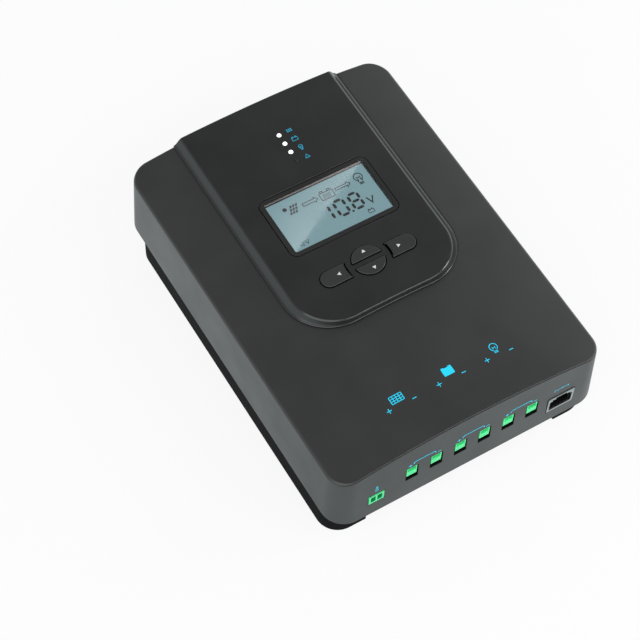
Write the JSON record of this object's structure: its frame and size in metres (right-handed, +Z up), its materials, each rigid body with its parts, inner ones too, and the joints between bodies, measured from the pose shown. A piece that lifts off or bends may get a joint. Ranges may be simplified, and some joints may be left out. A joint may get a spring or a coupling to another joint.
{
  "type": "solar charge controller",
  "caption": "Grey box-shaped solar charge controller with a crowned cover, raised display panel, keys, indicator lights, front wire terminals and a finned black heat sink base.",
  "frame": {"origin": "middle of the footprint, on the mounting plane under the heat sink", "axes": "+X to the right along the terminal edge, +Y from the terminal face to the back, +Z up from the heat sink to the display"},
  "size_m": [0.173, 0.238, 0.0725],
  "materials": {
    "cover_grey": "fine-textured matt grey moulding",
    "panel_dark": "satin dark grey moulding with glossy bevel",
    "sink_black": "black anodised casting",
    "window_clear": "clear window with a black printed border",
    "lcd_glass": "blue-grey liquid crystal glass",
    "light_white": "clear light-guiding plastic",
    "white_part": "white moulding",
    "board_green": "glass-fibre board with green solder mask",
    "key_dark": "satin dark grey moulding",
    "terminal_green": "bright green moulding",
    "zinc": "zinc-plated steel",
    "black_part": "black moulding",
    "copper_winding": "enamelled copper winding",
    "ribbon": "grey flat cable",
    "thermal": "thermal interface sheet"
  },
  "bodies": {
    "case": {"top_cover": "cover_grey", "display_panel": "panel_dark", "heatsink": "sink_black", "display_window": "window_clear", "lcd_module": "lcd_glass", "lcd_backlight": "white_part", "display_board": "board_green", "main_board": "board_green", "switch_up": "black_part", "switch_down": "black_part", "switch_right": "black_part", "switch_left": "black_part", "light_pipe_1": "light_white", "cover_screw_1": "zinc", "light_pipe_2": "light_white", "cover_screw_2": "zinc", "light_pipe_3": "light_white", "cover_screw_3": "zinc", "light_pipe_4": "light_white", "cover_screw_4": "zinc", "terminal_1": "terminal_green", "terminal_2": "terminal_green", "terminal_3": "terminal_green", "terminal_4": "terminal_green", "terminal_5": "terminal_green", "terminal_6": "terminal_green", "sensor_socket": "terminal_green", "data_jack_shell": "zinc", "data_jack_insert": "black_part", "inductor_1": "copper_winding", "power_transistor_1": "black_part", "inductor_2": "copper_winding", "power_transistor_2": "black_part", "capacitor_1": "black_part", "capacitor_2": "black_part", "capacitor_3": "black_part", "ribbon_cable": "ribbon", "thermal_sheet": "thermal"},
    "key_up_body": {"key_up": "key_dark", "plunger_up": "white_part"},
    "key_down_body": {"key_down": "key_dark", "plunger_down": "white_part"},
    "key_right_body": {"key_right": "key_dark", "plunger_right": "white_part"},
    "key_left_body": {"key_left": "key_dark", "plunger_left": "white_part"},
    "clamp_screw_1_body": {"clamp_screw_1": "zinc"},
    "clamp_plate_1_body": {"clamp_plate_1": "zinc"},
    "clamp_screw_2_body": {"clamp_screw_2": "zinc"},
    "clamp_plate_2_body": {"clamp_plate_2": "zinc"},
    "clamp_screw_3_body": {"clamp_screw_3": "zinc"},
    "clamp_plate_3_body": {"clamp_plate_3": "zinc"},
    "clamp_screw_4_body": {"clamp_screw_4": "zinc"},
    "clamp_plate_4_body": {"clamp_plate_4": "zinc"},
    "clamp_screw_5_body": {"clamp_screw_5": "zinc"},
    "clamp_plate_5_body": {"clamp_plate_5": "zinc"},
    "clamp_screw_6_body": {"clamp_screw_6": "zinc"},
    "clamp_plate_6_body": {"clamp_plate_6": "zinc"}
  },
  "joints": [
    {"name": "key_up_press", "type": "slide", "parent": "case", "child": "key_up_body", "axis": [0, 0, -1], "range_m": [0, 0.0005], "stiffness_N_per_m": 800},
    {"name": "key_down_press", "type": "slide", "parent": "case", "child": "key_down_body", "axis": [0, 0, -1], "range_m": [0, 0.0005], "stiffness_N_per_m": 800},
    {"name": "key_right_press", "type": "slide", "parent": "case", "child": "key_right_body", "axis": [0, 0, -1], "range_m": [0, 0.0005], "stiffness_N_per_m": 800},
    {"name": "key_left_press", "type": "slide", "parent": "case", "child": "key_left_body", "axis": [0, 0, -1], "range_m": [0, 0.0005], "stiffness_N_per_m": 800},
    {"name": "clamp_screw_1_turn", "type": "hinge", "parent": "case", "child": "clamp_screw_1_body", "pos_m": [-0.0385, -0.11201, 0.0447], "axis": [0, 1, 0], "range_deg": [0, 1080]},
    {"name": "clamp_plate_1_slide", "type": "slide", "parent": "case", "child": "clamp_plate_1_body", "axis": [0, 0, -1], "range_m": [0, 0.00212]},
    {"name": "clamp_screw_2_turn", "type": "hinge", "parent": "case", "child": "clamp_screw_2_body", "pos_m": [-0.0231, -0.11201, 0.0447], "axis": [0, 1, 0], "range_deg": [0, 1080]},
    {"name": "clamp_plate_2_slide", "type": "slide", "parent": "case", "child": "clamp_plate_2_body", "axis": [0, 0, -1], "range_m": [0, 0.00212]},
    {"name": "clamp_screw_3_turn", "type": "hinge", "parent": "case", "child": "clamp_screw_3_body", "pos_m": [-0.0077, -0.11201, 0.0447], "axis": [0, 1, 0], "range_deg": [0, 1080]},
    {"name": "clamp_plate_3_slide", "type": "slide", "parent": "case", "child": "clamp_plate_3_body", "axis": [0, 0, -1], "range_m": [0, 0.00212]},
    {"name": "clamp_screw_4_turn", "type": "hinge", "parent": "case", "child": "clamp_screw_4_body", "pos_m": [0.0077, -0.11201, 0.0447], "axis": [0, 1, 0], "range_deg": [0, 1080]},
    {"name": "clamp_plate_4_slide", "type": "slide", "parent": "case", "child": "clamp_plate_4_body", "axis": [0, 0, -1], "range_m": [0, 0.00212]},
    {"name": "clamp_screw_5_turn", "type": "hinge", "parent": "case", "child": "clamp_screw_5_body", "pos_m": [0.0231, -0.11201, 0.0447], "axis": [0, 1, 0], "range_deg": [0, 1080]},
    {"name": "clamp_plate_5_slide", "type": "slide", "parent": "case", "child": "clamp_plate_5_body", "axis": [0, 0, -1], "range_m": [0, 0.00212]},
    {"name": "clamp_screw_6_turn", "type": "hinge", "parent": "case", "child": "clamp_screw_6_body", "pos_m": [0.0385, -0.11201, 0.0447], "axis": [0, 1, 0], "range_deg": [0, 1080]},
    {"name": "clamp_plate_6_slide", "type": "slide", "parent": "case", "child": "clamp_plate_6_body", "axis": [0, 0, -1], "range_m": [0, 0.00212]}
  ],
  "couplings": [
    {"joint": "clamp_screw_1_turn", "follows": "clamp_plate_1_slide", "rad_per_m": 8891},
    {"joint": "clamp_screw_2_turn", "follows": "clamp_plate_2_slide", "rad_per_m": 8891},
    {"joint": "clamp_screw_3_turn", "follows": "clamp_plate_3_slide", "rad_per_m": 8891},
    {"joint": "clamp_screw_4_turn", "follows": "clamp_plate_4_slide", "rad_per_m": 8891},
    {"joint": "clamp_screw_5_turn", "follows": "clamp_plate_5_slide", "rad_per_m": 8891},
    {"joint": "clamp_screw_6_turn", "follows": "clamp_plate_6_slide", "rad_per_m": 8891}
  ]
}
